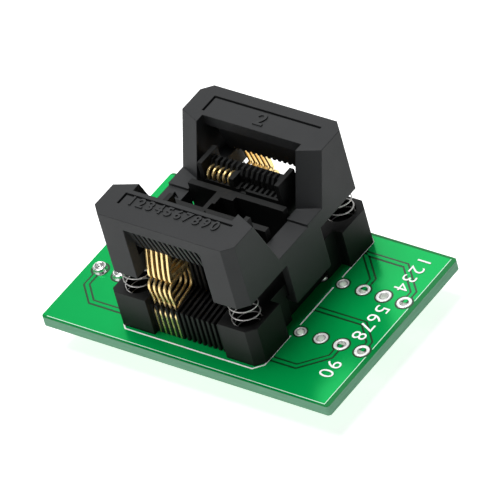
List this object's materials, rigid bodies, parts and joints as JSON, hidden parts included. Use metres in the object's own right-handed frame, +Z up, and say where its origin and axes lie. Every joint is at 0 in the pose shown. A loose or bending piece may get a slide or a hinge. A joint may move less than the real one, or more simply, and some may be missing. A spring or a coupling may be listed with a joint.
{
  "type": "ic programming adapter",
  "caption": "Small circuit board carrying a sprung open-top test socket for a narrow IC, with turned pins below one end.",
  "frame": {"origin": "under the centre of the board's outline, level with the lower ends of the pins", "axes": "+X along the board, from the end with the pins to the end with the open plated holes; +Y across the board; +Z up through the socket"},
  "size_m": [0.0362, 0.0234, 0.0197],
  "materials": {
    "board_laminate": "glossy green solder mask",
    "base_plastic": "fine matte moulding",
    "cover_plastic": "fine matte moulding",
    "contact_metal": "gold plated",
    "pin_metal": "plated",
    "solder": "bright solder",
    "spring_steel": "drawn wire"
  },
  "bodies": {
    "base": {"circuit_board": "board_laminate", "socket_base": "base_plastic", "front_pin_1": "pin_metal", "front_pin_2": "pin_metal", "front_pin_3": "pin_metal", "front_pin_4": "pin_metal", "front_pin_5": "pin_metal", "rear_pin_1": "pin_metal", "rear_pin_2": "pin_metal", "rear_pin_3": "pin_metal", "rear_pin_4": "pin_metal", "rear_pin_5": "pin_metal", "front_solder_joint_1": "solder", "front_solder_joint_2": "solder", "front_solder_joint_3": "solder", "rear_solder_joint_1": "solder", "rear_solder_joint_2": "solder", "rear_solder_joint_3": "solder", "front_contact_1": "contact_metal", "front_contact_2": "contact_metal", "front_contact_3": "contact_metal", "front_contact_4": "contact_metal", "front_contact_5": "contact_metal", "rear_contact_1": "contact_metal", "rear_contact_2": "contact_metal", "rear_contact_3": "contact_metal", "rear_contact_4": "contact_metal", "rear_contact_5": "contact_metal", "front_left_spring": "spring_steel", "front_right_spring": "spring_steel", "rear_left_spring": "spring_steel", "rear_right_spring": "spring_steel"},
    "cover": {"cover": "cover_plastic"}
  },
  "joints": [
    {"name": "cover_press", "type": "slide", "parent": "base", "child": "cover", "axis": [0, 0, -1], "range_m": [0, 0.0022], "stiffness_N_per_m": 1500, "springref_m": -0.002, "deforming": ["front_left_spring", "front_right_spring", "rear_left_spring", "rear_right_spring"]}
  ]
}
